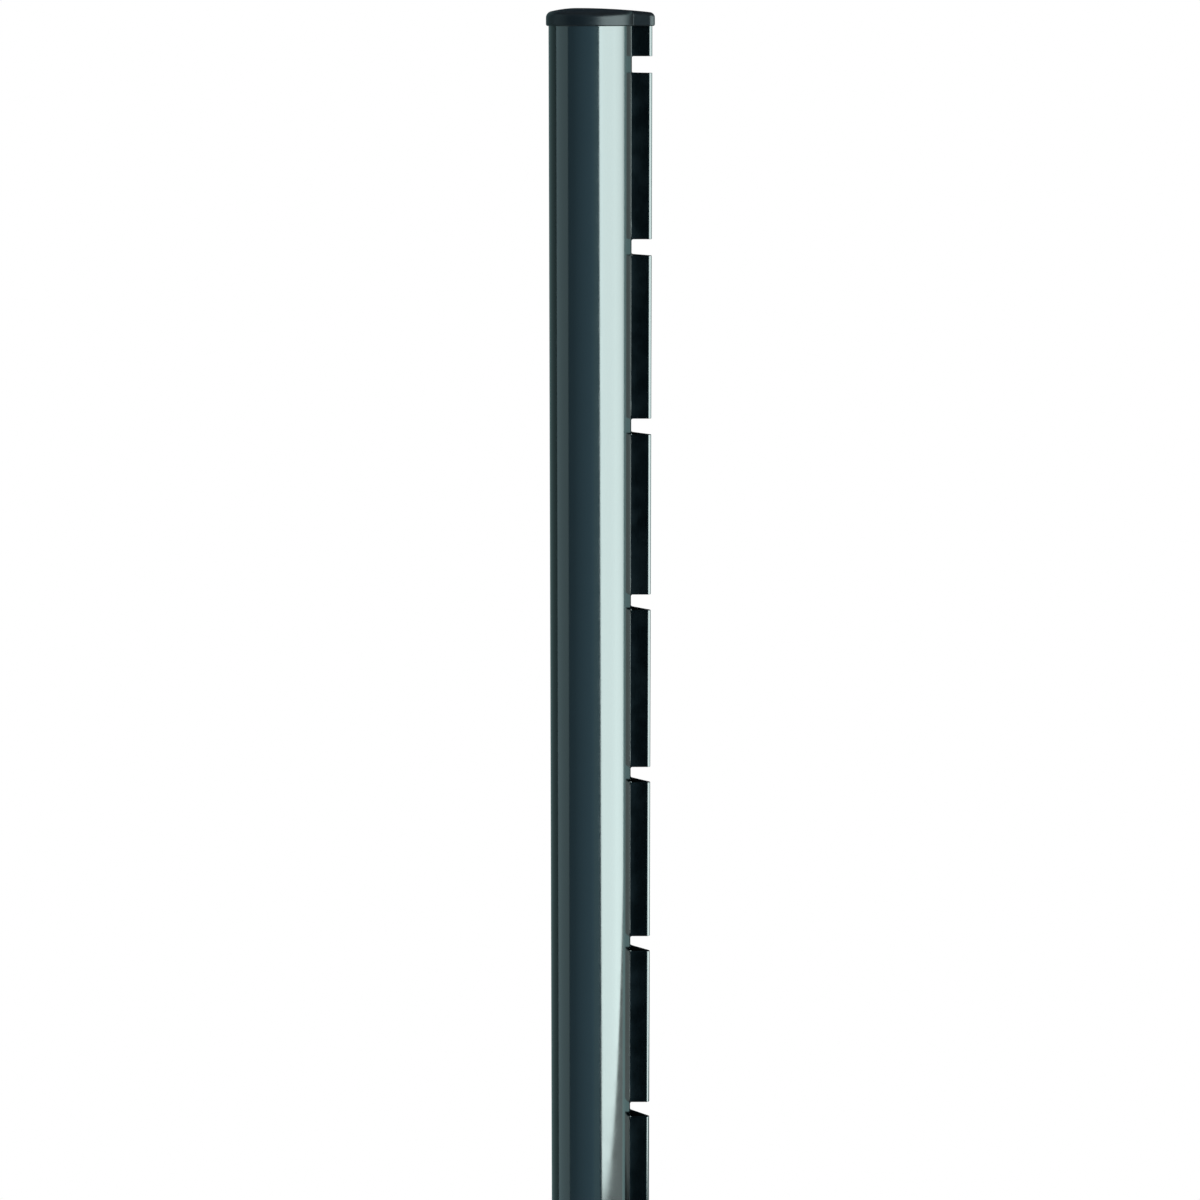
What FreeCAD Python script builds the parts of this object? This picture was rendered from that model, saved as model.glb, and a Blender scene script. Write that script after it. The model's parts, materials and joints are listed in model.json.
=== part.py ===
import FreeCAD, Part
import math
import os

# Metal fence post in millimetres: a welded steel section with a notched fin, and a moulded cap on its top end.
# Z runs up the post from its foot. The round body is centred on Z, the fin points along +X, and the fin's
# flat face looks towards -Y.

# Steel section
BODY_DIAMETER = 46.0
WALL = 1.5
FIN_REACH = 11.0
FIN_FACE_OFFSET = 4.5
NOSE_RADIUS = 1.8
ROOT_BEND_RADIUS = 0.2

# Length of the post and its row of notches, measured down from the top end
POST_LENGTH = 1500.0
NOTCH_COUNT = 11
NOTCH_PITCH = 100.0
TOP_TO_FIRST_NOTCH = 26.0
NOTCH_HEIGHT = 9.0
NOTCH_DEPTH = 11.2
NOTCH_CORNER_RADIUS = 1.0

# Shell of the cap
CAP_CLEARANCE = 0.2
CAP_WALL = 1.2
CAP_LAP = 5.2
CAP_PLATE = 2.0
CAP_CORNER_RADIUS = 0.8
CROWN_HEIGHT = 2.5
CROWN_BACKSET = 7.0
CAP_EDGE_RADIUS = 2.6
CAP_LIP_RADIUS = 1.0

# Plug under the cap, inside the round body
PLUG_CLEARANCE = 0.6
PLUG_WALL = 1.4
PLUG_DEPTH = 12.0
RIB_COUNT = 6
RIB_WIDTH = 1.4
RIB_CLEARANCE = 0.1
RIB_LEAD_IN = 2.5

BODY_RADIUS = BODY_DIAMETER / 2
CROWN_GRID = 9


def polar(centre, radius, angle):
    """The point at a radius and an angle from a centre, on the plane z = 0."""
    return FreeCAD.Vector(centre[0] + radius * math.cos(angle), centre[1] + radius * math.sin(angle), 0)


def arc(centre, radius, start, end):
    """The edge that turns about a centre from one angle to another."""
    middle = (start + end) / 2
    points = [polar(centre, radius, angle) for angle in (start, middle, end)]
    return Part.Arc(*points).toShape()


def outline(growth, bend):
    """The section's closed outline, grown outwards, with one radius for the concave bend at the fin's root."""
    body = BODY_RADIUS + growth
    face = -FIN_FACE_OFFSET - growth
    nose = NOSE_RADIUS + growth
    body_centre = (0.0, 0.0)
    nose_centre = (BODY_RADIUS + FIN_REACH - NOSE_RADIUS, NOSE_RADIUS - FIN_FACE_OFFSET)
    bend_y = face - bend
    bend_centre = (math.sqrt((body + bend) ** 2 - bend_y ** 2), bend_y)
    root = math.atan2(bend_centre[1], bend_centre[0])
    # The back flat is the common tangent of the body and the nose, and this is the direction that it faces
    spread = math.acos((body - nose) / math.hypot(*nose_centre))
    back = math.atan2(nose_centre[1], nose_centre[0]) + spread
    edges = [
        arc(bend_centre, bend, math.pi + root, math.pi / 2),
        Part.makeLine(polar(bend_centre, bend, math.pi / 2), polar(nose_centre, nose, -math.pi / 2)),
        arc(nose_centre, nose, -math.pi / 2, back),
        Part.makeLine(polar(nose_centre, nose, back), polar(body_centre, body, back)),
        arc(body_centre, body, back, 2 * math.pi + root),
    ]
    return Part.Wire(edges)


def prism(wire, low, high):
    """A solid with a closed outline, standing between two heights."""
    face = Part.Face(wire)
    face.translate(FreeCAD.Vector(0, 0, low))
    return face.extrude(FreeCAD.Vector(0, 0, high - low))


def notch_cutter(height):
    """The punch that cuts one notch, centred on a height: a slot along Y with rounded inner corners."""
    inner = BODY_RADIUS + FIN_REACH - NOTCH_DEPTH
    block = Part.makeBox(2 * NOTCH_DEPTH, BODY_DIAMETER, NOTCH_HEIGHT)
    inner_edges = [
        edge for edge in block.Edges
        if edge.BoundBox.XMax < NOTCH_DEPTH and edge.BoundBox.YLength > BODY_RADIUS
    ]
    punch = block.makeFillet(NOTCH_CORNER_RADIUS, inner_edges)
    punch.translate(FreeCAD.Vector(inner, -BODY_RADIUS, height - NOTCH_HEIGHT / 2))
    return punch


def post_profile():
    """The steel section over its whole length, with the row of notches cut through its fin."""
    outside = outline(0.0, ROOT_BEND_RADIUS)
    inside = outline(-WALL, ROOT_BEND_RADIUS + WALL)
    steel = prism(outside, 0.0, POST_LENGTH).cut(prism(inside, 0.0, POST_LENGTH))
    cutters = []
    for index in range(NOTCH_COUNT):
        height = POST_LENGTH - TOP_TO_FIRST_NOTCH - index * NOTCH_PITCH
        cutters.append(notch_cutter(height))
    return steel.cut(Part.makeCompound(cutters))


def crown_height(x, y):
    """Height of the cap's crown over its rim: an elliptic dome, drawn out from its peak towards the nose."""
    growth = CAP_CLEARANCE + CAP_WALL
    half_depth = BODY_RADIUS + growth
    behind = half_depth - CROWN_BACKSET
    ahead = half_depth + FIN_REACH + CROWN_BACKSET
    along = x + CROWN_BACKSET
    share_x = along / (behind if along < 0 else ahead)
    share_y = y / half_depth
    return CROWN_HEIGHT * (1 - share_x ** 2 - share_y ** 2)


def space_over_crown(rim):
    """The space over the cap's crown, whose underside is the crown's surface."""
    margin = CAP_CLEARANCE + CAP_WALL + 1.0
    low_x = -BODY_RADIUS - margin
    high_x = BODY_RADIUS + FIN_REACH + margin
    half_y = BODY_RADIUS + margin
    rows = []
    for i in range(2 * CROWN_GRID):
        x = low_x + (high_x - low_x) * i / (2 * CROWN_GRID - 1)
        row = []
        for j in range(CROWN_GRID):
            y = half_y * (2 * j / (CROWN_GRID - 1) - 1)
            row.append(FreeCAD.Vector(x, y, rim + crown_height(x, y)))
        rows.append(row)
    surface = Part.BSplineSurface()
    surface.interpolate(rows)
    return surface.toShape().extrude(FreeCAD.Vector(0, 0, 4 * CROWN_HEIGHT))


def cap_shell():
    """The cap's crowned plate and the skirt that laps over the outside of the post."""
    growth = CAP_CLEARANCE + CAP_WALL
    rim = POST_LENGTH + CAP_PLATE
    outside = outline(growth, CAP_CORNER_RADIUS)
    inside = outline(CAP_CLEARANCE, CAP_CORNER_RADIUS + CAP_WALL)
    block = prism(outside, POST_LENGTH - CAP_LAP, rim + 2 * CROWN_HEIGHT)
    lip_edges = [edge for edge in block.Edges if edge.BoundBox.ZMax < POST_LENGTH]
    crowned = block.makeFillet(CAP_LIP_RADIUS, lip_edges).cut(space_over_crown(rim))
    crown_edges = [
        edge for face in crowned.Faces if isinstance(face.Surface, Part.BSplineSurface) for edge in face.Edges
    ]
    rounded = crowned.makeFillet(CAP_EDGE_RADIUS, crown_edges)
    return rounded.cut(prism(inside, POST_LENGTH - CAP_LAP, POST_LENGTH))


def grip_rib(angle, outer):
    """One rib along the plug that grips the inside of the body, tapered at its lower end."""
    inner = outer - PLUG_WALL
    tip = BODY_RADIUS - WALL - RIB_CLEARANCE
    low = POST_LENGTH - PLUG_DEPTH
    points = [
        FreeCAD.Vector(inner, -RIB_WIDTH / 2, low),
        FreeCAD.Vector(outer, -RIB_WIDTH / 2, low),
        FreeCAD.Vector(tip, -RIB_WIDTH / 2, low + RIB_LEAD_IN),
        FreeCAD.Vector(tip, -RIB_WIDTH / 2, POST_LENGTH),
        FreeCAD.Vector(inner, -RIB_WIDTH / 2, POST_LENGTH),
    ]
    side = Part.Face(Part.makePolygon(points + points[:1]))
    rib = side.extrude(FreeCAD.Vector(0, RIB_WIDTH, 0))
    rib.rotate(FreeCAD.Vector(0, 0, 0), FreeCAD.Vector(0, 0, 1), angle)
    return rib


def cap_plug():
    """The round plug under the cap's plate, with its ribs spread evenly about the side away from the fin."""
    outer = BODY_RADIUS - WALL - PLUG_CLEARANCE
    low = FreeCAD.Vector(0, 0, POST_LENGTH - PLUG_DEPTH)
    plug = Part.makeCylinder(outer, PLUG_DEPTH, low).cut(Part.makeCylinder(outer - PLUG_WALL, PLUG_DEPTH, low))
    step = 360.0 / (RIB_COUNT + 1)
    ribs = [grip_rib(step * (index + 1), outer) for index in range(RIB_COUNT)]
    return plug.multiFuse(ribs)


def end_cap():
    """The moulded cap in one piece."""
    return cap_shell().fuse(cap_plug()).removeSplitter()


def main():
    """Builds each piece and writes it to its own file."""
    os.makedirs("parts", exist_ok=True)
    pieces = {"post_profile": post_profile(), "end_cap": end_cap()}
    for name, shape in pieces.items():
        shape.exportStep(os.path.join("parts", name + ".step"))
        print(name, "solids:", len(shape.Solids), "valid:", shape.isValid(), "volume:", round(shape.Volume))


main()
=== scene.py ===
"""A round steel fence post with a notched fin along one side and a moulded cap on its top end.

Every length is in metres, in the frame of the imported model: Z runs up the post from its foot, the round
body is centred on Z, and the fin points along +X with its flat face towards -Y.
"""

import json
import logging
import math
from dataclasses import dataclass, field
from enum import Enum

import bpy
import numpy as np
from mathutils import Matrix, Vector


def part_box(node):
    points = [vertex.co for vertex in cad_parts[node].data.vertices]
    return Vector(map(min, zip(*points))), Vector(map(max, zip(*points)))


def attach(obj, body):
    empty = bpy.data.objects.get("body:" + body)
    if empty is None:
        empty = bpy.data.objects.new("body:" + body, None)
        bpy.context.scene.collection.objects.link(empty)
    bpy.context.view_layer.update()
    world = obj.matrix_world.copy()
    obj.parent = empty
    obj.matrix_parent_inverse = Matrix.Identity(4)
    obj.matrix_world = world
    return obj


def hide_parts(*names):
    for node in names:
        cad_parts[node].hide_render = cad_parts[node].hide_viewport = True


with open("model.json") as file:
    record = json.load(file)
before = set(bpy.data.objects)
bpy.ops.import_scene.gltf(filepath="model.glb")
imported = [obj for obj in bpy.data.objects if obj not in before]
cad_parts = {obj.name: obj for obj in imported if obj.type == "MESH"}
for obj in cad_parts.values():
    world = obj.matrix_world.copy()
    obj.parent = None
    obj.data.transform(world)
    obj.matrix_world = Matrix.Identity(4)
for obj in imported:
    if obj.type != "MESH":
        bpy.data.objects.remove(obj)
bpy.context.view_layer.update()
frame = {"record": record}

MM = 0.001
IMAGE_SIDE = 1200
TINY = 1e-12
# The parts of a noise's range, from 0 to 1, that a finish spreads over its own range
NOISE_CORE = (0.35, 0.65)
NOISE_MIDDLE = (0.3, 0.7)
NOISE_WIDE = (0.2, 0.8)
# A light's own nodes read a ray depth of 2 at the first reflection, and of 3 at the second
BEFORE_SECOND_REFLECTION = 2.5

log = logging.getLogger("fence_post")
Colour = tuple[float, float, float]


def blend_of(start: np.ndarray, end: np.ndarray, share: float | np.ndarray) -> np.ndarray:
    """Return start + share * (end - start)."""
    return start + share * (end - start)


def unit(vectors: np.ndarray) -> np.ndarray:
    """Return vectors of length one along the last axis: v / |v|."""
    return vectors / np.maximum(np.linalg.norm(vectors, axis=-1, keepdims=True), TINY)


def ringed(grid: np.ndarray) -> np.ndarray:
    """Return a grid with its first column repeated last, so that it closes on itself."""
    return np.concatenate([grid, grid[:, :1]], axis=1)


def spread_between(marks: list[float], steps: list[int]) -> np.ndarray:
    """Return values that run through marks in order, each stretch cut into its own number of equal steps.

    Args:
        marks: The values that must be reached, one more than there are stretches.
        steps: How many equal steps each stretch gets.

    Returns:
        The values from the first mark to the last, each mark once.
    """
    pieces = [np.linspace(a, b, n, endpoint=False) for a, b, n in zip(marks[:-1], marks[1:], steps)]
    return np.concatenate([*pieces, [marks[-1]]])


@dataclass(frozen=True)
class Outline:
    """A closed line around the section, seen from above, that can be read at any distance along it."""

    points: np.ndarray
    normals: np.ndarray
    distance: np.ndarray
    marks: tuple[float, ...]

    @property
    def length(self) -> float:
        """Return the length of the whole line."""
        return self.marks[-1]

    def at(self, distance: np.ndarray) -> tuple[np.ndarray, np.ndarray]:
        """Read the line at distances that may run past its start or its end.

        Args:
            distance: Distances along the line, of any array shape.

        Returns:
            The points and the outward normals, both with a last axis of two.
        """
        wrapped = np.mod(distance, self.length)
        point, normal = (
            np.stack([np.interp(wrapped, self.distance, values[:, axis]) for axis in (0, 1)], axis=-1)
            for values in (self.points, self.normals)
        )
        return point, unit(normal)

    def distance_at_x(self, x: float, from_mark: int, to_mark: int) -> float:
        """Find where x is reached, between two marks where x only rises or only falls.

        Args:
            x: The place along X.
            from_mark: The number of the mark before it.
            to_mark: The number of the mark after it.

        Returns:
            How far along the line it is.
        """
        low, high = self.marks[from_mark], self.marks[to_mark]
        stretch = (self.distance >= low) & (self.distance <= high)
        values, along = self.points[stretch, 0], self.distance[stretch]
        order = np.argsort(values)
        return float(np.interp(x, values[order], along[order]))


@dataclass(frozen=True)
class KeyholeSection:
    """The section of the post: a round body, and a hollow fin whose front is flat and whose back slopes."""

    body_radius: float
    fin_tip: float
    face_offset: float = 4.5 * MM
    nose_radius: float = 1.8 * MM
    samples: int = 600

    def outline(self, growth: float, bend: float) -> Outline:
        """Make the outline of the section, grown outwards by one distance all round.

        Every arc keeps its centre, so its radius grows by the same distance. The stretches are, in order
        and anticlockwise from above: the body, the bend at the fin's root, the fin's flat front, its nose,
        and its sloping back, which is the common tangent of the nose and the body.

        Args:
            growth: How far outside the steel's outer face the line runs. Less than zero is inside it.
            bend: The radius of the concave bend where the fin's front leaves the body.

        Returns:
            The outline, with a mark at the start and at the end of each stretch.
        """
        body, nose = self.body_radius + growth, self.nose_radius + growth
        face = -self.face_offset - growth
        nose_centre = np.array([self.fin_tip - self.nose_radius, self.nose_radius - self.face_offset])
        bend_y = face - bend
        bend_centre = np.array([math.sqrt((body + bend) ** 2 - bend_y ** 2), bend_y])
        root = math.atan2(bend_centre[1], bend_centre[0])
        reach = float(np.hypot(*nose_centre))
        back = math.atan2(nose_centre[1], nose_centre[0]) + math.acos((body - nose) / reach)
        origin = np.zeros(2)

        def turn(centre: np.ndarray, radius: float, start: float, end: float, side: int) -> tuple:
            """Give the points of an arc and its normals.

            Args:
                centre: The arc's centre.
                radius: Its radius.
                start: The angle where it starts.
                end: The angle where it ends.
                side: 1 where the normals point away from the centre, and -1 where they point at it.

            Returns:
                The points, and the normals.
            """
            angle = np.linspace(start, end, self.samples)
            ray = np.stack([np.cos(angle), np.sin(angle)], axis=-1)
            return centre + radius * ray, side * ray

        round_body = turn(origin, body, back, 2 * math.pi + root, 1)
        root_bend = turn(bend_centre, bend, math.pi + root, math.pi / 2, -1)
        round_nose = turn(nose_centre, nose, -math.pi / 2, back, 1)
        front = self.flat(root_bend[0][-1], round_nose[0][0], round_nose[1][0])
        slope = self.flat(round_nose[0][-1], round_body[0][0], round_body[1][0])
        stretches = [round_body, root_bend, front, round_nose, slope]
        points = np.concatenate([points for points, _ in stretches])
        normals = np.concatenate([normals for _, normals in stretches])
        steps = np.linalg.norm(np.diff(points, axis=0), axis=1)
        distance = np.concatenate([[0.0], np.cumsum(steps)])
        marks = (0.0, *(float(distance[(i + 1) * self.samples - 1]) for i in range(len(stretches))))
        return Outline(points, normals, distance, marks)

    def flat(self, start: np.ndarray, end: np.ndarray, normal: np.ndarray) -> tuple:
        """Return the points of a straight stretch and its one normal, repeated."""
        share = np.linspace(0.0, 1.0, self.samples)[:, None]
        return blend_of(start, end, share), np.repeat(normal[None], self.samples, axis=0)


@dataclass
class Skin:
    """A closed surface in the making: blocks of points with their normals, and the faces between them."""

    points: list[np.ndarray] = field(default_factory=list)
    normals: list[np.ndarray] = field(default_factory=list)
    inside: list[np.ndarray] = field(default_factory=list)
    faces: list[np.ndarray] = field(default_factory=list)
    count: int = 0

    def add(self, points: np.ndarray, normals: np.ndarray, inside: float = 0.0) -> np.ndarray:
        """Add a block of points.

        Args:
            points: Points of any grid shape, with a last axis of three.
            normals: The outward normal at each point, in the same shape.
            inside: How much the points belong to the hidden inner face, from 0 to 1.

        Returns:
            The number of each point, in the grid's shape.
        """
        shape = points.shape[:-1]
        numbers = np.arange(self.count, self.count + int(np.prod(shape))).reshape(shape)
        self.points.append(points.reshape(-1, 3))
        self.normals.append(np.broadcast_to(normals, points.shape).reshape(-1, 3))
        self.inside.append(np.full(numbers.size, inside))
        self.count += numbers.size
        return numbers

    def weave(self, numbers: np.ndarray, turned: bool = False, wanted: np.ndarray | None = None) -> None:
        """Add the four-sided faces between neighbours in a grid of point numbers.

        Args:
            numbers: The grid, whose rows go up and whose columns go anticlockwise for an outer surface.
            turned: Whether the faces point the other way, as on an inner surface.
            wanted: Which of the faces to keep, as a grid one smaller each way.
        """
        corners = [numbers[:-1, :-1], numbers[:-1, 1:], numbers[1:, 1:], numbers[1:, :-1]]
        quads = np.stack(corners[::-1] if turned else corners, axis=-1)
        self.faces.append(quads[wanted] if wanted is not None else quads.reshape(-1, 4))

    def close(self, ring: np.ndarray, pole: int, turned: bool = False) -> None:
        """Add the three-sided faces between a ring of points and its pole.

        Args:
            ring: The numbers of the ring's points, the first repeated last.
            pole: The number of the pole.
            turned: Whether the faces point the other way.
        """
        tip = np.full(len(ring) - 1, pole)
        corners = [ring[:-1], ring[1:], tip]
        self.faces.append(np.stack(corners[::-1] if turned else corners, axis=-1))

    def piece(self, name: str) -> bpy.types.Object:
        """Put the surface into a mesh with smooth shading, as an object at the origin.

        Args:
            name: The object's name.

        Returns:
            The object, linked to the scene.
        """
        sizes = np.concatenate([np.full(len(block), block.shape[1]) for block in self.faces])
        corners = np.concatenate([block.ravel() for block in self.faces]).astype(np.int32)
        starts = np.concatenate([[0], np.cumsum(sizes)[:-1]]).astype(np.int32)
        mesh = bpy.data.meshes.new(name)
        mesh.vertices.add(self.count)
        mesh.vertices.foreach_set("co", np.concatenate(self.points).astype(np.float32).ravel())
        mesh.loops.add(len(corners))
        mesh.loops.foreach_set("vertex_index", corners)
        mesh.polygons.add(len(sizes))
        mesh.polygons.foreach_set("loop_start", starts)
        mesh.polygons.foreach_set("use_smooth", np.ones(len(sizes), dtype=bool))
        mesh.update(calc_edges=True)
        mesh.validate()
        inner = mesh.attributes.new("inner_face", "FLOAT", "POINT")
        inner.data.foreach_set("value", np.concatenate(self.inside).astype(np.float32))
        mesh.normals_split_custom_set_from_vertices(unit(np.concatenate(self.normals)).tolist())
        made = bpy.data.objects.new(name, mesh)
        bpy.context.scene.collection.objects.link(made)
        return made


def rounded_edge(skin: Skin, outer: np.ndarray, inner: np.ndarray, outer_corner: np.ndarray,
                 inner_corner: np.ndarray, radius: float, steps: int, turned: bool = False) -> None:
    """Close the wall between an outer and an inner surface along a cut, with both of its edges rounded.

    Each edge is a quadratic Bezier curve, B(t) = (1-t)^2 A + 2t(1-t) P + t^2 C, from the surface at A over
    the sharp corner P to a point C on the cut face, radius away from P towards the other edge.

    Args:
        skin: The surface in the making, which already holds the points of outer and inner.
        outer: Numbers of the outer surface's boundary points around the cut, the first repeated last.
        inner: Numbers of the inner surface's boundary points, beside those of outer.
        outer_corner: The sharp corners of the outer surface, before rounding.
        inner_corner: The sharp corners of the inner surface, before rounding.
        radius: The size of the rounding.
        steps: How many faces the rounding has across each edge.
        turned: Whether the faces point the other way, as at the lower end of the post.
    """
    points = np.concatenate(skin.points)
    normals = np.concatenate(skin.normals)
    share = np.linspace(0.0, 1.0, steps + 1)[:, None, None]
    around = np.roll(outer_corner[:-1], -1, axis=0) - np.roll(outer_corner[:-1], 1, axis=0)
    around = np.concatenate([around, around[:1]])
    across = unit(inner_corner - outer_corner)

    def bevel(start: np.ndarray, corner: np.ndarray, end: np.ndarray) -> tuple[np.ndarray, np.ndarray]:
        """Return the points and the normals of one rounded edge, from start to end."""
        curve = (1 - share) ** 2 * start + 2 * share * (1 - share) * corner + share ** 2 * end
        slope = 2 * (1 - share) * (corner - start) + 2 * share * (end - corner)
        return curve, unit(np.cross(around, slope))

    first, first_normal = bevel(points[outer], outer_corner, outer_corner + radius * across)
    last, last_normal = bevel(inner_corner - radius * across, inner_corner, points[inner])
    sign = 1.0 if np.sum(first_normal[0] * normals[outer]) > 0 else -1.0
    row_points = np.concatenate([first[1:], last[:-1]])
    row_normals = sign * np.concatenate([first_normal[1:], last_normal[:-1]])
    added = skin.add(row_points[:, :-1], row_normals[:, :-1])
    skin.weave(np.concatenate([outer[None], ringed(added), inner[None]]), turned)


class Recipe:
    """The node tree of one material in the making."""

    def __init__(self, name: str) -> None:
        """Start an empty material that has only its output.

        Args:
            name: The material's name.
        """
        self.material = bpy.data.materials.new(name)
        self.material.use_nodes = True
        self.tree = self.material.node_tree
        self.tree.nodes.clear()
        self.output = self.tree.nodes.new("ShaderNodeOutputMaterial")

    def node(self, kind: str, sockets: dict | None = None, **settings) -> bpy.types.Node:
        """Add a node.

        Args:
            kind: The node's type, without the words ShaderNode in front.
            sockets: For each input, its value, or the output socket that feeds it.
            **settings: The node's own settings.

        Returns:
            The node.
        """
        made = self.tree.nodes.new("ShaderNode" + kind)
        for setting, value in settings.items():
            setattr(made, setting, value)
        for name, value in (sockets or {}).items():
            if isinstance(value, bpy.types.NodeSocket):
                self.tree.links.new(value, made.inputs[name])
            else:
                made.inputs[name].default_value = value
        return made

    def place(self, scale: Colour = (1.0, 1.0, 1.0)) -> bpy.types.NodeSocket:
        """Return object coordinates, stretched along each axis by scale."""
        coordinates = self.node("TexCoord")
        return self.node("Mapping", {"Vector": coordinates.outputs["Object"], "Scale": scale}).outputs[0]

    def noise(self, per_metre: float, detail: float = 2.0, scale: Colour = (1.0, 1.0, 1.0),
              roughness: float = 0.5) -> bpy.types.NodeSocket:
        """Return even noise from 0 to 1, with a number of waves to the metre."""
        sockets = {"Vector": self.place(scale), "Scale": per_metre, "Detail": detail, "Roughness": roughness}
        return self.node("TexNoise", sockets).outputs["Fac"]

    def remap(self, value: bpy.types.NodeSocket, low: float, high: float, to_low: float,
              to_high: float) -> bpy.types.NodeSocket:
        """Return a value carried from one range to another, smoothly and within the second range."""
        sockets = {"Value": value, "From Min": low, "From Max": high, "To Min": to_low, "To Max": to_high}
        return self.node("MapRange", sockets, interpolation_type="SMOOTHSTEP").outputs[0]

    def mix(self, share: bpy.types.NodeSocket, first: Colour, second: Colour) -> bpy.types.NodeSocket:
        """Return a colour between two, by a share from 0 to 1."""
        sockets = {"Fac": share, "Color1": (*first, 1.0), "Color2": (*second, 1.0)}
        return self.node("MixRGB", sockets).outputs[0]

    def bump(self, height: bpy.types.NodeSocket, depth: float,
             under: bpy.types.NodeSocket | None = None) -> bpy.types.NodeSocket:
        """Bend the surface's normal by a height field.

        Args:
            height: The heights, from 0 to 1.
            depth: How deep the field is.
            under: A normal that is bent already, if this one goes on top of it.

        Returns:
            The bent normal.
        """
        sockets = {"Height": height, "Distance": depth, "Strength": 1.0}
        if under is not None:
            sockets["Normal"] = under
        return self.node("Bump", sockets).outputs[0]

    def finish(self, shader: bpy.types.Node) -> bpy.types.Material:
        """Connect the shader to the output and return the material."""
        self.tree.links.new(shader.outputs[0], self.output.inputs["Surface"])
        return self.material


@dataclass(frozen=True)
class PowderCoat:
    """A glossy dark powder coat on galvanised steel, with its orange peel and the tube's roll lines.

    Waves are counted to the metre. A stretch is the scale of a pattern along each axis.
    """

    shade: Colour = (0.0013, 0.0038, 0.0054)
    bright_shade: Colour = (0.0022, 0.0053, 0.0073)
    inner_shade: Colour = (0.0030, 0.0052, 0.0064)
    cloud_waves: float = 38.0
    gloss_waves: float = 90.0
    roughness: tuple[float, float] = (0.09, 0.13)
    inner_roughness: float = 0.3
    refraction: float = 1.5
    peel_waves: float = 620.0
    peel_depth: float = 0.0035 * MM
    roll_waves: float = 160.0
    roll_stretch: tuple[float, float, float] = (1.0, 1.0, 0.05)
    roll_depth: float = 0.010 * MM
    weld_half_width: float = 1.6 * MM
    weld_depth: float = 0.05 * MM
    weld_behind: tuple[float, float] = (-12 * MM, -10 * MM)
    weld_waves: float = 900.0
    weld_stretch: tuple[float, float, float] = (1.0, 1.0, 0.2)
    weld_lowest: float = 0.6

    def material(self) -> bpy.types.Material:
        """Make the material: a dark glossy film that is duller on the inner face.

        Returns:
            The material.
        """
        recipe = Recipe("powder_coat")
        clouds = recipe.noise(self.cloud_waves, 3.0)
        colour = recipe.mix(recipe.remap(clouds, *NOISE_CORE, 0.0, 1.0), self.shade, self.bright_shade)
        inner = recipe.node("Attribute", attribute_name="inner_face").outputs["Fac"]
        outer_to_inner = recipe.node("MixRGB", {
            "Fac": inner, "Color1": colour, "Color2": (*self.inner_shade, 1.0)}).outputs[0]
        gloss = recipe.remap(recipe.noise(self.gloss_waves, 3.0), *NOISE_MIDDLE, *self.roughness)
        dulled = recipe.remap(inner, 0.0, 1.0, 0.0, self.inner_roughness)
        roughness = recipe.node("Math", {0: gloss, 1: dulled}, operation="ADD").outputs[0]
        weld = self.weld_line(recipe)
        rolled = recipe.bump(recipe.noise(self.roll_waves, 1.0, self.roll_stretch), self.roll_depth)
        scarfed = recipe.bump(weld, self.weld_depth, rolled)
        peeled = recipe.bump(recipe.noise(self.peel_waves, 1.5), self.peel_depth, scarfed)
        return recipe.finish(recipe.node("BsdfPrincipled", {
            "Base Color": outer_to_inner, "Roughness": roughness, "IOR": self.refraction, "Normal": peeled}))

    def weld_line(self, recipe: Recipe) -> bpy.types.NodeSocket:
        """Draw the scarfed weld: a low band along the back of the body, where y is near 0.

        Args:
            recipe: The material in the making.

        Returns:
            The weld's height, from 0 to 1.
        """
        place = recipe.node("SeparateXYZ", {"Vector": recipe.place()})
        sideways = recipe.node("Math", {0: place.outputs["Y"]}, operation="ABSOLUTE").outputs[0]
        across = recipe.remap(sideways, 0.0, self.weld_half_width, 1.0, 0.0)
        behind = recipe.remap(place.outputs["X"], *self.weld_behind, 1.0, 0.0)
        uneven = recipe.noise(self.weld_waves, 2.0, self.weld_stretch)
        ripple = recipe.remap(uneven, *NOISE_WIDE, self.weld_lowest, 1.0)
        band = recipe.node("Math", {0: across, 1: behind}, operation="MULTIPLY").outputs[0]
        return recipe.node("Math", {0: band, 1: ripple}, operation="MULTIPLY").outputs[0]


@dataclass(frozen=True)
class CapPlastic:
    """Black moulded plastic with a fine matt grain."""

    shade: Colour = (0.0065, 0.0095, 0.0125)
    worn_shade: Colour = (0.0090, 0.0125, 0.0155)
    flow_waves: float = 120.0
    gloss_waves: float = 260.0
    roughness: tuple[float, float] = (0.32, 0.38)
    refraction: float = 1.5
    specular: float = 0.13
    grain_waves: float = 1500.0
    grain_roughness: float = 0.6
    grain_depth: float = 0.006 * MM

    def material(self) -> bpy.types.Material:
        """Make the material: a dark grained surface, whose tone and shine vary from patch to patch.

        Returns:
            The material.
        """
        recipe = Recipe("cap_plastic")
        flow = recipe.noise(self.flow_waves, 3.0)
        colour = recipe.mix(recipe.remap(flow, *NOISE_CORE, 0.0, 1.0), self.shade, self.worn_shade)
        roughness = recipe.remap(recipe.noise(self.gloss_waves, 4.0), *NOISE_MIDDLE, *self.roughness)
        grained = recipe.noise(self.grain_waves, 3.0, roughness=self.grain_roughness)
        grain = recipe.bump(grained, self.grain_depth)
        return recipe.finish(recipe.node("BsdfPrincipled", {
            "Base Color": colour, "Roughness": roughness, "IOR": self.refraction,
            "Specular IOR Level": self.specular, "Normal": grain}))


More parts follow.
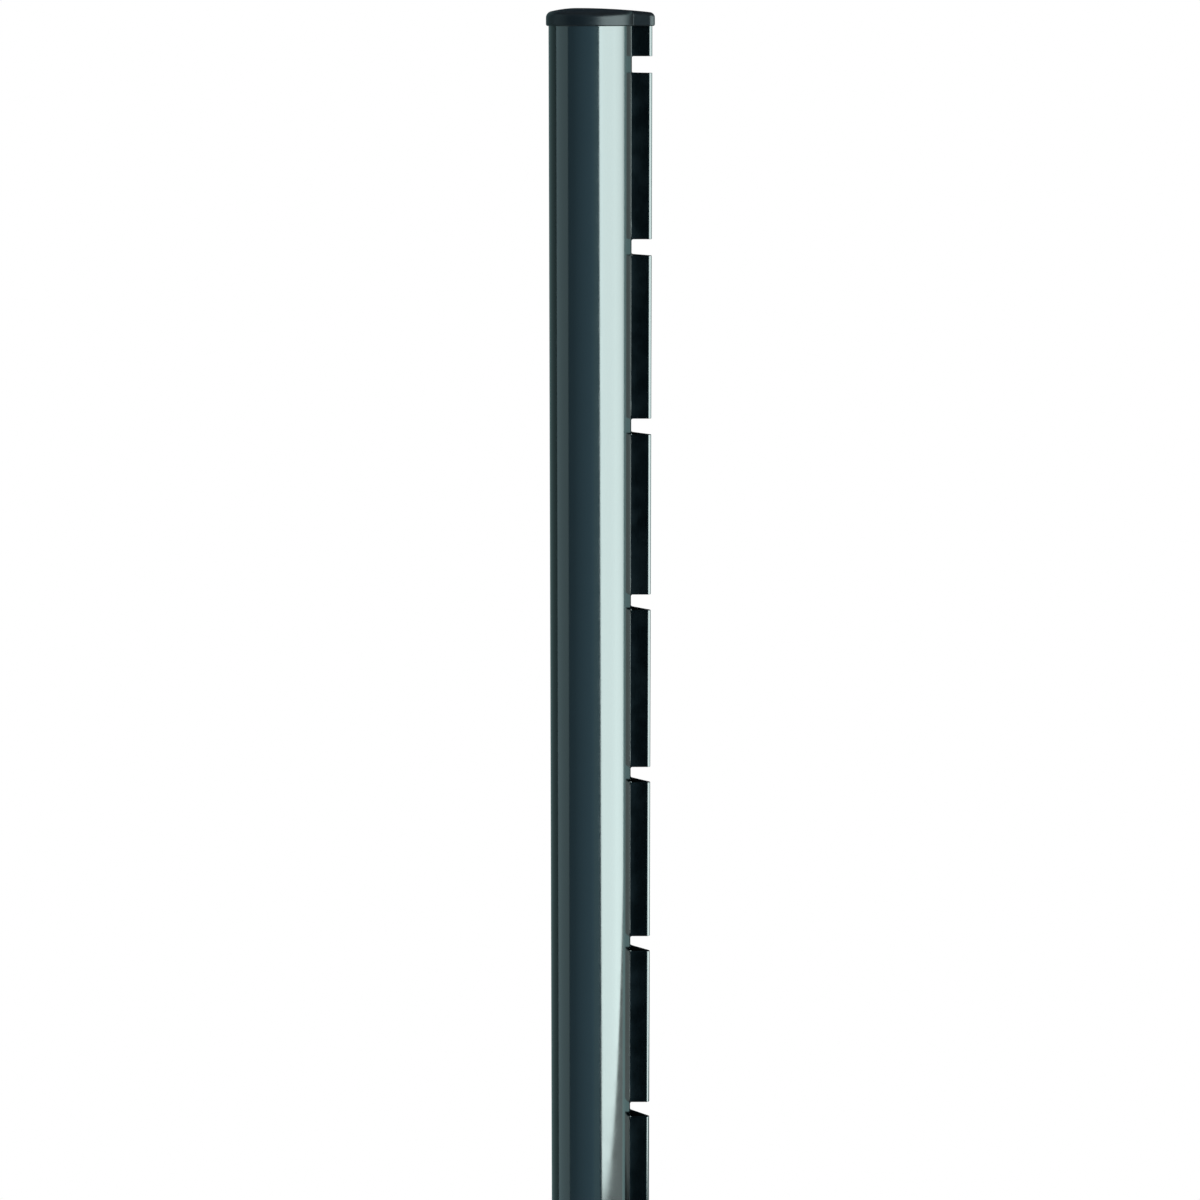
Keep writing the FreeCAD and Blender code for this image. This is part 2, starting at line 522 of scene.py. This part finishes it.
@dataclass
class NotchedPost:
    """The steel section, with a row of notches cut through its fin."""

    section: KeyholeSection
    length: float
    notch_centres: list[float]
    finish: PowderCoat = PowderCoat()
    wall: float = 1.5 * MM
    root_bend: float = 0.1 * MM
    notch_height: float = 9.0 * MM
    notch_depth: float = 11.2 * MM
    notch_corner: float = 1.0 * MM
    cut_edge: float = 0.28 * MM
    edge_steps: int = 4
    body_steps: int = 132
    corner_steps: int = 8
    nose_steps: int = 24
    flat_steps: int = 6
    rows_between_notches: int = 6

    def build(self) -> bpy.types.Object:
        """Build the outer and the inner surface, and the walls of each cut between them.

        Returns:
            The post.
        """
        skin = Skin()
        outer = self.surface(skin, 0.0, self.root_bend, inner=False)
        inner = self.surface(skin, -self.wall, self.root_bend + self.wall, inner=True)
        for end, turned in ((0, True), (-1, False)):
            rounded_edge(skin, outer[0][end], inner[0][end], outer[1][end], inner[1][end], self.cut_edge,
                         self.edge_steps, turned)
        for below in range(len(self.notch_centres)):
            loops = [self.notch_loop(part, below) for part in (outer[0], inner[0], outer[1], inner[1])]
            rounded_edge(skin, *loops, self.cut_edge, self.edge_steps)
        made = skin.piece("steel_post")
        made.data.materials.append(self.finish.material())
        return made

    @property
    def first_fin_column(self) -> int:
        """Return the column where the body ends and the fin's front begins."""
        return self.flat_steps + self.body_steps + self.corner_steps

    def columns(self, line: Outline) -> tuple[np.ndarray, np.ndarray, np.ndarray]:
        """Place the grid's columns along an outline, from the back end of the notches and round to it again.

        In the corner of a notch a column at angle a lies at x = end + corner * (1 - cos a), and the cut's
        edge there is corner * sin a further out than the notch's straight end.

        Args:
            line: The outline that the surface follows.

        Returns:
            The distance of each column along the outline, its angle a, and the side of the fin that it is on:
            1 on the front, where x rises with the distance, -1 on the back, and 0 away from the fin.
        """
        end = self.section.fin_tip - self.notch_depth
        angle = np.linspace(0.0, math.pi / 2, self.corner_steps + 1)
        x = end + self.notch_corner * (1 - np.cos(angle))
        front = np.array([line.distance_at_x(value, 1, 3) for value in x])
        back = np.array([line.distance_at_x(value, 4, 5) for value in x])[::-1]
        body = spread_between([back[-1] - line.length, 0.0, line.marks[1], front[0]],
                              [self.flat_steps, self.body_steps, self.corner_steps])
        fin = spread_between([front[-1], line.marks[3], line.marks[4], back[0]],
                             [self.flat_steps, self.nose_steps, self.flat_steps])
        distance = np.concatenate([body[:-1], front[:-1], fin, back[1:-1]])
        angles = np.concatenate([
            np.zeros(len(body) - 1), angle[:-1], np.full(len(fin), math.pi / 2), angle[::-1][1:-1]])
        side = np.zeros(len(distance))
        side[len(body) - 1:len(body) - 1 + self.corner_steps] = 1
        side[1 - self.corner_steps:] = -1
        side[0] = -1
        return distance, angles, side

    def surface(self, skin: Skin, growth: float, bend: float, inner: bool) -> tuple[np.ndarray, np.ndarray]:
        """Add one of the two long surfaces, open at its ends and at the notches.

        The surface is a grid of rows, in groups that lie between two notches. A group's first and last rows
        follow the cuts, drawn back from them by the rounding of the cut's edge.

        Args:
            skin: The surface in the making.
            growth: How far outside the steel's outer face it lies.
            bend: The radius of its bend at the fin's root.
            inner: Whether it is the inner surface.

        Returns:
            The grid of point numbers and the grid of sharp corners, both with the first column repeated last.
        """
        line = self.section.outline(growth, bend)
        distance, angle, side = self.columns(line)
        half, corner = self.notch_height / 2, self.notch_corner
        rise = corner * np.sin(angle)
        centres = np.array(sorted(self.notch_centres))
        low = np.concatenate([[np.zeros_like(angle)], centres[:, None] + half - corner + rise])
        high = np.concatenate([centres[:, None] - half + corner - rise, [np.full_like(angle, self.length)]])
        end_low = np.concatenate([[np.ones_like(angle)], np.tile(np.sin(angle), (len(centres), 1))])
        end_high = end_low[::-1]
        slip_low = np.concatenate([[np.zeros_like(angle)], np.tile(side * np.cos(angle), (len(centres), 1))])
        slip_high = slip_low[::-1]
        share = np.linspace(0.0, 1.0, self.rows_between_notches + 1)[None, :, None]
        drawn_low, drawn_high = low + self.cut_edge * end_low, high - self.cut_edge * end_high
        height = blend_of(drawn_low[:, None], drawn_high[:, None], share)
        along = np.broadcast_to(distance, height.shape).copy()
        along[:, 0] -= self.cut_edge * slip_low
        along[:, -1] -= self.cut_edge * slip_high
        sharp_height = blend_of(low[:, None], high[:, None], share)
        shape = (-1, len(distance))
        numbers = self.add_grid(skin, line, along.reshape(shape), height.reshape(shape), inner)
        corner_points, _ = line.at(np.broadcast_to(distance, height.shape).reshape(shape))
        corners = np.concatenate([corner_points, sharp_height.reshape(shape)[..., None]], axis=-1)
        corners = ringed(corners)
        wanted = np.ones((numbers.shape[0] - 1, numbers.shape[1] - 1), dtype=bool)
        group = self.rows_between_notches + 1
        wanted[group - 1::group, self.first_fin_column:] = False
        skin.weave(numbers, inner, wanted)
        return numbers, corners

    def add_grid(self, skin: Skin, line: Outline, along: np.ndarray, height: np.ndarray,
                 inner: bool) -> np.ndarray:
        """Add the points of one long surface.

        Args:
            skin: The surface in the making.
            line: The outline that the points follow.
            along: The distance of each point along the outline.
            height: The height of each point.
            inner: Whether they belong to the inner surface.

        Returns:
            The grid of point numbers, its first column repeated last.
        """
        plan, facing = line.at(along)
        points = np.concatenate([plan, height[..., None]], axis=-1)
        normals = np.concatenate([facing, np.zeros_like(height[..., None])], axis=-1)
        numbers = skin.add(points, -normals if inner else normals, 1.0 if inner else 0.0)
        return ringed(numbers)

    def notch_loop(self, grid: np.ndarray, below: int) -> np.ndarray:
        """Read a grid around a notch, out along its lower edge and back along its upper one.

        Args:
            grid: The grid, of numbers or of points.
            below: How many notches lie below this one.

        Returns:
            The grid's values, the first repeated last.
        """
        last_row = (below + 1) * (self.rows_between_notches + 1) - 1
        lower = grid[last_row, self.first_fin_column:]
        upper = grid[last_row + 1, self.first_fin_column:][::-1]
        return np.concatenate([lower, upper, lower[:1]])


@dataclass
class EndCap:
    """The moulded cap: a crowned plate with a skirt outside the post and a ribbed plug inside it."""

    section: KeyholeSection
    post_length: float
    finish: CapPlastic = CapPlastic()
    clearance: float = 0.2 * MM
    wall: float = 1.2 * MM
    lap: float = 5.2 * MM
    plate: float = 2.0 * MM
    root_bend: float = 0.3 * MM
    crown: float = 2.499 * MM
    crown_backset: float = 7.0 * MM
    crown_edge: float = 2.6 * MM
    lip: float = 1.0 * MM
    mouth_edge: float = 0.3 * MM
    inner_edge: float = 0.15 * MM
    edge_steps: int = 6
    rings: int = 22
    plug_radius: float = 20.9 * MM
    plug_wall: float = 1.4 * MM
    plug_depth: float = 12.0 * MM
    plug_sink: float = 0.4 * MM
    plug_chamfer: float = 0.25 * MM
    rib_count: int = 6
    rib_half_width: float = 0.7 * MM
    rib_flank_share: float = 0.25
    rib_height: float = 0.5 * MM
    rib_lead_in: float = 2.5 * MM
    rib_start: float = 0.1
    rib_steps: tuple[int, ...] = (10, 1, 4, 1)
    column_steps: tuple[int, ...] = (132, 10, 6, 28, 14)

    def build(self) -> bpy.types.Object:
        """Build the shell and the plug as one piece.

        Returns:
            The cap.
        """
        skin = Skin()
        self.shell(skin)
        self.plug(skin)
        made = skin.piece("post_cap")
        made.data.materials.append(self.finish.material())
        return made

    @property
    def rim(self) -> float:
        """Return the height of the crown's rim."""
        return self.post_length + self.plate

    def crown_height(self, x: np.ndarray, y: np.ndarray) -> tuple[np.ndarray, np.ndarray]:
        """Give the crown's height over the rim, H (1 - (u / L)^2 - (y / B)^2), with u measured from its peak.

        L is shorter behind the peak than ahead of it, towards the fin, and B is half the cap's depth.

        Args:
            x: Places along X.
            y: Places along Y.

        Returns:
            The heights, and the normals of the crown's surface there.
        """
        half_depth = self.section.body_radius + self.clearance + self.wall
        fin = self.section.fin_tip - self.section.body_radius
        along = x + self.crown_backset
        behind, ahead = half_depth - self.crown_backset, half_depth + fin + self.crown_backset
        reach = np.where(along < 0, behind, ahead)
        height = self.crown * (1 - (along / reach) ** 2 - (y / half_depth) ** 2)
        slope_x = 2 * self.crown * along / reach ** 2
        slope_y = 2 * self.crown * y / half_depth ** 2
        return height, unit(np.stack([slope_x, slope_y, np.ones_like(slope_x)], axis=-1))

    def line(self, growth: float) -> tuple[np.ndarray, np.ndarray]:
        """Place the cap's columns along its outline.

        Args:
            growth: How far outside the cap's outer face the line runs. Less than zero is inside it.

        Returns:
            The points and the normals.
        """
        outer = self.clearance + self.wall
        outline = self.section.outline(outer + growth, self.root_bend - growth)
        return outline.at(spread_between(list(outline.marks), list(self.column_steps))[:-1])

    def shell(self, skin: Skin) -> None:
        """Add the plate and the skirt: a profile carried round the outline, from its underside to its top.

        Args:
            skin: The surface in the making.
        """
        outside, facing = self.line(0.0)
        mouth, mouth_facing = self.line(-self.wall)
        under, _ = self.line(-self.wall - self.inner_edge)
        inset, _ = self.line(-self.crown_edge)
        foot = self.post_length - self.lap
        down, up = np.array([0.0, 0.0, -1.0]), np.array([0.0, 0.0, 1.0])
        sideways = self.with_height(facing, 0.0)
        inwards = -self.with_height(mouth_facing, 0.0)
        rows = [(self.with_height(under, self.post_length), down),
                (self.with_height(mouth, self.post_length - self.inner_edge), inwards),
                (self.with_height(mouth, foot + self.mouth_edge), inwards)]
        flat_start = blend_of(mouth, outside, self.mouth_edge / self.wall)
        flat_end = blend_of(outside, mouth, self.lip / self.wall)
        rows += self.turned_edge(
            rows[-1][0], self.with_height(mouth, foot), self.with_height(flat_start, foot))
        rows += self.turned_edge(
            self.with_height(flat_end, foot), self.with_height(outside, foot),
            self.with_height(outside, foot + self.lip), first=True)
        crown_outside = self.rim + self.crown_height(outside[:, 0], outside[:, 1])[0]
        crown_inset = self.rim + self.crown_height(inset[:, 0], inset[:, 1])[0]
        below_crown = self.with_height(outside, crown_outside - self.crown_edge)
        rows.append((blend_of(rows[-1][0], below_crown, 0.5), sideways))
        rows += self.turned_edge(below_crown, self.with_height(outside, crown_outside),
                                 self.with_height(inset, crown_inset), first=True)
        peak = np.array([-self.crown_backset, 0.0])
        share = np.linspace(1.0, 0.0, self.rings + 1)[1:-1, None, None]
        inside = blend_of(peak, inset, share)
        height, normal = self.crown_height(inside[..., 0], inside[..., 1])
        crown = list(zip(np.concatenate([inside, self.rim + height[..., None]], axis=-1), normal))
        numbers = skin.add(np.stack([row for row, _ in rows + crown]),
                           np.stack([np.broadcast_to(normal, outside.shape[:1] + (3,))
                                     for _, normal in rows + crown]))
        rings = ringed(numbers)
        skin.weave(rings)
        bottom = skin.add(self.middle(self.post_length)[None], down)
        skin.close(rings[0], int(bottom[0]), turned=True)
        top = skin.add(self.middle(self.rim + self.crown)[None], up)
        skin.close(rings[-1], int(top[0]))

    def turned_edge(self, start: np.ndarray, corner: np.ndarray, end: np.ndarray,
                    first: bool = False) -> list[tuple[np.ndarray, np.ndarray]]:
        """Round an edge that runs all round the cap, with a quarter circle as a rational Bezier curve.

        Args:
            start: Where the curve leaves one surface, for each column.
            corner: The sharp corner.
            end: Where it joins the other surface.
            first: Whether the row at start belongs to the result.

        Returns:
            The rows of points and normals.
        """
        share = np.linspace(0.0, 1.0, self.edge_steps + 1)[0 if first else 1:, None, None]
        weight = math.sqrt(0.5)
        before, at, after = (1 - share) ** 2, 2 * weight * share * (1 - share), share ** 2
        curve = (before * start + at * corner + after * end) / (before + at + after)
        slope = (weight * before * (corner - start) + share * (1 - share) * (end - start)
                 + weight * after * (end - corner))
        around = np.roll(corner, -1, axis=0) - np.roll(corner, 1, axis=0)
        normal = unit(np.cross(around, slope))
        return list(zip(curve, normal))

    def plug(self, skin: Skin) -> None:
        """Add the plug: a closed ring whose outer wall carries evenly spread ribs, none of them by the fin.

        The outer radius is R + r(a) * t(z), where r is a rib's height within its width at the angle a, and
        t rises from 0 at the plug's lower end to 1 over the rib's lead-in. The columns between two ribs, up
        a rib's flank, across the rib and down again are counted in rib_steps.

        Args:
            skin: The surface in the making.
        """
        step = 2 * math.pi / (self.rib_count + 1)
        half = self.rib_half_width / self.plug_radius
        soft = half * self.rib_flank_share
        marks, steps = [0.0], []
        for index in range(1, self.rib_count + 1):
            middle = index * step
            marks += [middle - half - soft, middle - half, middle + half, middle + half + soft]
            steps += self.rib_steps
        angle = spread_between([*marks, 2 * math.pi], [*steps, self.rib_steps[0]])[:-1]
        nearest = np.clip(np.round(angle / step), 1, self.rib_count) * step
        rib = np.clip((half + soft - np.abs(angle - nearest)) / soft, 0.0, 1.0)
        low, high = self.post_length - self.plug_depth, self.post_length + self.plug_sink
        ray = np.stack([np.cos(angle), np.sin(angle)], axis=-1)
        inner = self.plug_radius - self.plug_wall
        chamfer = self.plug_chamfer
        profile = [
            (inner, high, 0.0, (-1, 0)), (inner, low + chamfer, 0.0, (-1, 0)),
            (inner + chamfer, low, 0.0, (0, -1)), (self.plug_radius - chamfer, low, 0.0, (0, -1)),
            (self.plug_radius, low + chamfer, self.rib_start, (1, 0)),
            (self.plug_radius, low + self.rib_lead_in, 1.0, (1, 0)), (self.plug_radius, high, 1.0, (1, 0)),
        ]
        rows, normals = [], []
        for radius, height, share, (out, up) in profile:
            reach = radius + self.rib_height * rib * share
            rows.append(self.with_height(reach[:, None] * ray, height))
            normals.append(np.concatenate([out * ray, np.full((len(ray), 1), float(up))], axis=-1))
        numbers = skin.add(np.stack(rows), np.stack(normals), 1.0)
        numbers = np.concatenate([numbers, numbers[:1]])
        skin.weave(ringed(numbers))

    def middle(self, height: float) -> np.ndarray:
        """Return the point under the crown's peak at a height."""
        return np.array([-self.crown_backset, 0.0, height])

    @staticmethod
    def with_height(plan: np.ndarray, height: float | np.ndarray) -> np.ndarray:
        """Return points or vectors of the plan with their height as a third value."""
        return np.concatenate([plan, np.broadcast_to(height, plan.shape[:-1])[..., None]], axis=-1)


class Reach(Enum):
    """What a studio light shows up in."""

    GLOSS = "reflections only"
    DIFFUSE = "diffuse light only"


@dataclass(frozen=True)
class Pattern:
    """How a light's brightness varies over its face, in shares of its width and of its height.

    The level follows the stops in across, from left to right as seen from the post, and the stops shift by
    lean from the light's top to its bottom. Under a line that climbs from left to right the level drops to
    the share in below. Light that reaches the picture by two reflections is cut to the share in echo.
    """

    across: tuple[tuple[float, float], ...] = ((0.0, 1.0), (1.0, 1.0))
    lean: float = 0.0
    echo: float = 1.0
    line_start: float = -1.0
    line_climb: float = 0.0
    line_blur: float = 0.01
    below: float = 1.0

    def apply(self, light: bpy.types.AreaLight) -> None:
        """Write the pattern into the light's own nodes.

        Args:
            light: The light.
        """
        light.use_nodes = True
        tree = light.node_tree
        place = tree.nodes.new("ShaderNodeNewGeometry")
        axes = tree.nodes.new("ShaderNodeSeparateXYZ")
        ramp = tree.nodes.new("ShaderNodeValToRGB")
        tree.links.new(place.outputs["Parametric"], axes.inputs[0])
        shift = self.math(tree, "MULTIPLY_ADD", axes.outputs["Y"], self.lean, -self.lean)
        tree.links.new(self.math(tree, "ADD", axes.outputs["X"], shift), ramp.inputs["Fac"])
        stops = ramp.color_ramp.elements
        while len(stops) < len(self.across):
            stops.new(0.5)
        for stop, (share, level) in zip(stops, self.across):
            stop.position, stop.color = share, (level, level, level, 1.0)
        climb = self.math(tree, "MULTIPLY", axes.outputs["X"], self.line_climb)
        height = self.math(tree, "SUBTRACT", axes.outputs["Y"], climb)
        edge = tree.nodes.new("ShaderNodeMapRange")
        edge.interpolation_type = "SMOOTHSTEP"
        edge.inputs["From Min"].default_value = self.line_start - self.line_blur
        edge.inputs["From Max"].default_value = self.line_start + self.line_blur
        edge.inputs["To Min"].default_value = self.below
        tree.links.new(height, edge.inputs["Value"])
        path = tree.nodes.new("ShaderNodeLightPath")
        twice = self.math(tree, "GREATER_THAN", path.outputs["Ray Depth"], BEFORE_SECOND_REFLECTION)
        kept = self.math(tree, "MULTIPLY_ADD", twice, self.echo - 1.0, 1.0)
        patterned = self.math(tree, "MULTIPLY", ramp.outputs["Color"], edge.outputs[0])
        strength = self.math(tree, "MULTIPLY", patterned, kept)
        tree.links.new(strength, tree.nodes["Emission"].inputs["Strength"])

    @staticmethod
    def math(tree: bpy.types.NodeTree, operation: str,
             *terms: bpy.types.NodeSocket | float) -> bpy.types.NodeSocket:
        """Add one operation.

        Args:
            tree: The light's nodes.
            operation: What is done.
            *terms: The outputs and the numbers that it is done with.

        Returns:
            The output that holds the result.
        """
        made = tree.nodes.new("ShaderNodeMath")
        made.operation = operation
        for socket, term in zip(made.inputs, terms):
            if isinstance(term, float):
                socket.default_value = term
            else:
                tree.links.new(term, socket)
        return made.outputs[0]


def area_light(name: str, size: tuple[float, float], radiance: float, tint: Colour,
               reach: Reach) -> bpy.types.Object:
    """Make a rectangular light that the camera itself doesn't see.

    Args:
        name: The light's name.
        size: Its width and height in metres.
        radiance: How bright its face is.
        tint: Its colour.
        reach: The kind of reflection that it lights.

    Returns:
        The light, at the origin and facing down.
    """
    light = bpy.data.lights.new(name, "AREA")
    light.shape = "RECTANGLE"
    light.size, light.size_y = size
    light.color = tint
    light.energy = radiance * size[0] * size[1] * math.pi
    made = bpy.data.objects.new(name, light)
    made.visible_camera = False
    made.visible_diffuse = reach is Reach.DIFFUSE
    made.visible_glossy = reach is Reach.GLOSS
    made.visible_transmission = False
    bpy.context.scene.collection.objects.link(made)
    return made


@dataclass(frozen=True)
class Ceiling:
    """A wide soft light straight above the post, for matt surfaces only."""

    side: float = 12.0
    height: float = 6.0
    radiance: float = 1.9
    tint: Colour = (1.0, 1.0, 1.0)

    def build(self) -> None:
        """Make the light."""
        made = area_light("ceiling", (self.side, self.side), self.radiance, self.tint, Reach.DIFFUSE)
        made.location = (0.0, 0.0, self.height)


@dataclass(frozen=True)
class Softbox:
    """An upright rectangular light at a distance from the post, turned towards it.

    Angles are in degrees round the post, from the camera's side, and positive towards the fin.
    """

    name: str
    azimuth: float
    distance: float
    width: float
    low: float
    high: float
    radiance: float
    tint: Colour = (1.0, 1.0, 1.0)
    sideways: float = 0.0
    pattern: Pattern | None = None

    def build(self) -> None:
        """Make the light, which only glossy reflections see."""
        size = (self.width, self.high - self.low)
        made = area_light(self.name, size, self.radiance, self.tint, Reach.GLOSS)
        turn = math.radians(self.azimuth)
        away = Vector((math.sin(turn), -math.cos(turn), 0.0))
        across = Vector((math.cos(turn), math.sin(turn), 0.0))
        up = Vector((0.0, 0.0, 1.0))
        made.location = self.distance * away + self.sideways * across + (self.low + self.high) / 2 * up
        made.rotation_euler = Matrix((across, up, away)).transposed().to_euler()
        if self.pattern:
            self.pattern.apply(made.data)


@dataclass
class Studio:
    """A pale round floor that fades out, a white backdrop, a dark surround, the lights and the camera."""

    floor_radius: float = 1.75
    floor_solid_radius: float = 0.7
    floor_clear_radius: float = 1.715
    floor_columns: int = 96
    floor_rings: int = 23
    floor_shade: Colour = (0.80, 0.80, 0.80)
    surround: Colour = (0.010, 0.017, 0.020)
    camera_distance: float = 1.80
    camera_height: float = 1.505
    camera_tilt: float = 10.4
    lens: float = 96.92
    sensor: float = 36.0
    axis_column: float = 590.3
    ceiling: Ceiling = Ceiling()
    softboxes: tuple[Softbox, ...] = (
        Softbox("key_softbox", azimuth=66.0, distance=0.85, width=1.60, low=-0.3, high=1.95,
                radiance=18.5, tint=(0.82, 1.0, 0.98), sideways=-0.061,
                pattern=Pattern(across=((0.0, 0.0), (0.004, 0.8), (0.06, 1.0), (0.523, 0.92), (0.652, 0.78),
                                        (0.78, 0.60), (0.92, 0.30)),
                                lean=0.265, echo=0.5, line_start=0.307, line_climb=0.140, line_blur=0.006,
                                below=0.14)),
        Softbox("key_edge_glow", azimuth=21.5, distance=0.86, width=0.38, low=-0.3, high=1.95,
                radiance=1.35, tint=(0.55, 1.0, 1.15),
                pattern=Pattern(across=((0.0, 1.0), (0.6, 1.0), (1.0, 0.0)))),
        Softbox("fin_side_glow", azimuth=136.0, distance=1.1, width=1.27, low=-0.3, high=2.0,
                radiance=2.2, tint=(0.62, 1.0, 1.0),
                pattern=Pattern(across=((0.0, 1.0), (0.25, 0.6), (0.41, 0.4), (0.56, 0.28), (0.72, 0.2),
                                        (1.0, 0.16)))),
        Softbox("near_glow", azimuth=0.0, distance=0.15, width=0.302, low=-0.4, high=1.8,
                radiance=1.25, tint=(0.52, 1.0, 1.25), sideways=-0.129,
                pattern=Pattern(across=((0.0, 0.38), (0.46, 0.48), (0.93, 0.85), (1.0, 1.0)))),
        Softbox("left_strip", azimuth=-86.0, distance=1.0, width=0.808, low=-0.4, high=2.2,
                radiance=1.38, tint=(0.67, 1.0, 1.06)),
        Softbox("back_left_glow", azimuth=-140.0, distance=1.2, width=1.35, low=-0.4, high=2.2,
                radiance=0.28, tint=(0.60, 1.0, 1.0)),
    )

    def build(self) -> None:
        """Make the whole studio."""
        self.backdrop()
        self.floor()
        self.ceiling.build()
        for softbox in self.softboxes:
            softbox.build()
        self.camera()

    def backdrop(self) -> None:
        """Make the world white where the camera sees it, and dark where the post reflects it."""
        world = bpy.data.worlds.new("studio_surround")
        world.use_nodes = True
        tree = world.node_tree
        tree.nodes.clear()
        seen = tree.nodes.new("ShaderNodeBackground")
        seen.inputs["Color"].default_value = (1.0, 1.0, 1.0, 1.0)
        unseen = tree.nodes.new("ShaderNodeBackground")
        unseen.inputs["Color"].default_value = (*self.surround, 1.0)
        path = tree.nodes.new("ShaderNodeLightPath")
        mix = tree.nodes.new("ShaderNodeMixShader")
        output = tree.nodes.new("ShaderNodeOutputWorld")
        tree.links.new(path.outputs["Is Camera Ray"], mix.inputs["Fac"])
        tree.links.new(unseen.outputs[0], mix.inputs[1])
        tree.links.new(seen.outputs[0], mix.inputs[2])
        tree.links.new(mix.outputs[0], output.inputs["Surface"])
        bpy.context.scene.world = world

    def floor(self) -> None:
        """Make the floor: a disc whose rings run outwards, with a finish that fades towards its rim."""
        angle = np.linspace(0.0, 2 * math.pi, self.floor_columns, endpoint=False)
        radius = np.linspace(0.0, self.floor_radius, self.floor_rings + 1)[1:]
        x, y = np.outer(radius, np.cos(angle)), np.outer(radius, np.sin(angle))
        skin = Skin()
        up = np.array([0.0, 0.0, 1.0])
        numbers = skin.add(np.stack([x, y, np.zeros_like(x)], axis=-1), up)
        centre = skin.add(np.zeros((1, 3)), up)
        rings = ringed(numbers)
        skin.weave(rings, turned=True)
        skin.close(rings[0], int(centre[0]))
        made = skin.piece("studio_floor")
        made.data.materials.append(self.floor_material())

    def floor_material(self) -> bpy.types.Material:
        """Make a pale matt finish that turns clear from the solid radius outwards to near the rim.

        Returns:
            The material.
        """
        recipe = Recipe("studio_floor")
        distance = recipe.node("VectorMath", {0: recipe.place()}, operation="LENGTH").outputs["Value"]
        clear = recipe.remap(distance, self.floor_solid_radius, self.floor_clear_radius, 0.0, 1.0)
        matt = recipe.node("BsdfDiffuse", {"Color": (*self.floor_shade, 1.0)})
        glass = recipe.node("BsdfTransparent", {"Color": (1.0, 1.0, 1.0, 1.0)})
        return recipe.finish(recipe.node("MixShader", {
            "Fac": clear, 1: matt.outputs[0], 2: glass.outputs[0]}))

    def camera(self) -> None:
        """Make the camera, level with the cap and looking down the post, which stands left of the middle.

        The turn aside is atan(d / f * cos(tilt)), with the post's distance d from the middle and the focal
        length f in pixels.
        """
        data = bpy.data.cameras.new("camera")
        data.lens, data.sensor_width = self.lens, self.sensor
        made = bpy.data.objects.new("camera", data)
        made.location = (0.0, -self.camera_distance, self.camera_height)
        tilt = math.radians(self.camera_tilt)
        focal = self.lens / self.sensor * IMAGE_SIDE
        aside = math.atan((IMAGE_SIDE / 2 - self.axis_column) / focal * math.cos(tilt))
        made.rotation_euler = (math.pi / 2 - tilt, 0.0, -aside)
        bpy.context.scene.collection.objects.link(made)
        bpy.context.scene.camera = made


def ride_in_place_of(piece: bpy.types.Object, node: str) -> None:
    """Let a piece stand for a node of the model, on the one body.

    Args:
        piece: The piece.
        node: The node whose place it takes.
    """
    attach(piece, "root")
    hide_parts(node)
    log.info("%s stands for %s: %d faces", piece.name, node, len(piece.data.polygons))


def main() -> None:
    """Build the post, its cap and the studio."""
    _, post_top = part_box("post_profile")
    section = KeyholeSection(body_radius=post_top[1], fin_tip=post_top[0])
    mounts = frame["record"]["mounts"]
    centres = [mount["pos_m"][2] for mount in mounts if mount["name"].startswith("notch_")]
    post = NotchedPost(section, post_top[2], centres)
    cap = EndCap(section, post_top[2])
    ride_in_place_of(post.build(), "post_profile")
    ride_in_place_of(cap.build(), "end_cap")
    Studio().build()
    bpy.context.scene.view_settings.view_transform = "Standard"
    bpy.context.scene.view_settings.look = "None"


if __name__ == "__main__":
    logging.basicConfig(level=logging.INFO)
    main()
